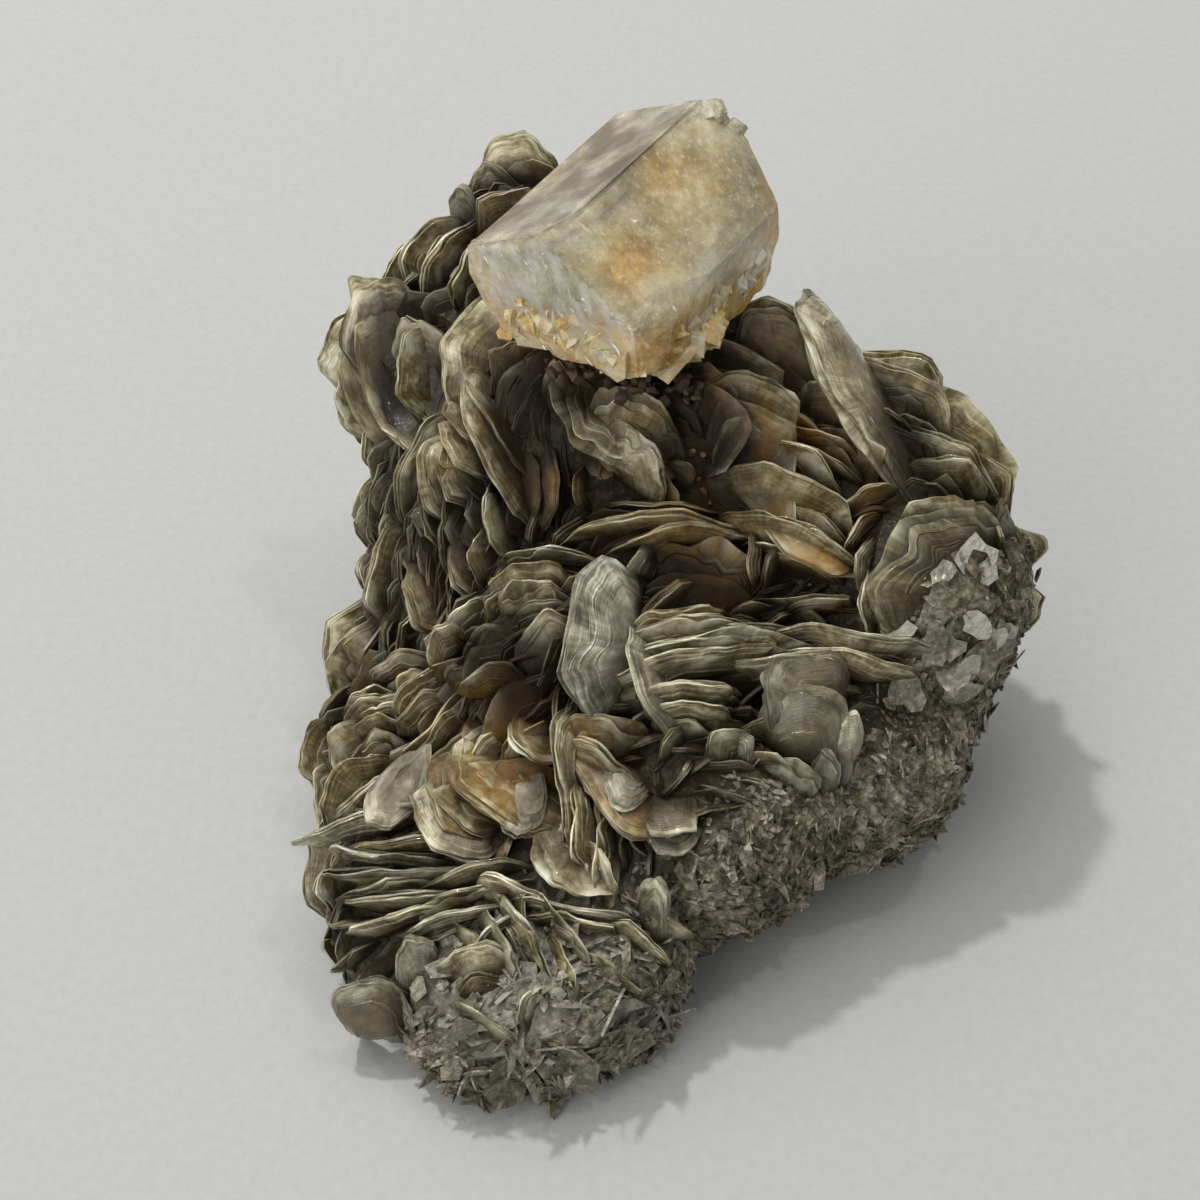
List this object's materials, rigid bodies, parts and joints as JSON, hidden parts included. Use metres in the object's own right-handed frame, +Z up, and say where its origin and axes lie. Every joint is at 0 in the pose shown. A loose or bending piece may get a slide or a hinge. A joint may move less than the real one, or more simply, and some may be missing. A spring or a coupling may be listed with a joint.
{
  "type": "beryl crystal on muscovite",
  "caption": "Colourless to straw-yellow beryl prism lying on a cluster of rounded, overlapping muscovite mica books with a fine-grained mica rock base.",
  "frame": {"origin": "middle of the flat base that the specimen rests on", "axes": "+Z up, +X to the right of the crystal's front end, +Y to the back, along the longest side"},
  "size_m": [0.0835, 0.0934, 0.0676],
  "materials": {
    "beryl": "clear to cloudy crystal, glossy prism faces, etched front end, yellow iron stains",
    "muscovite": "pearly grey-green to silver mica sheets with brown iron stains in the hollows"
  },
  "bodies": {
    "root": {"aquamarine": "beryl", "muscovite_matrix": "muscovite"}
  },
  "joints": []
}
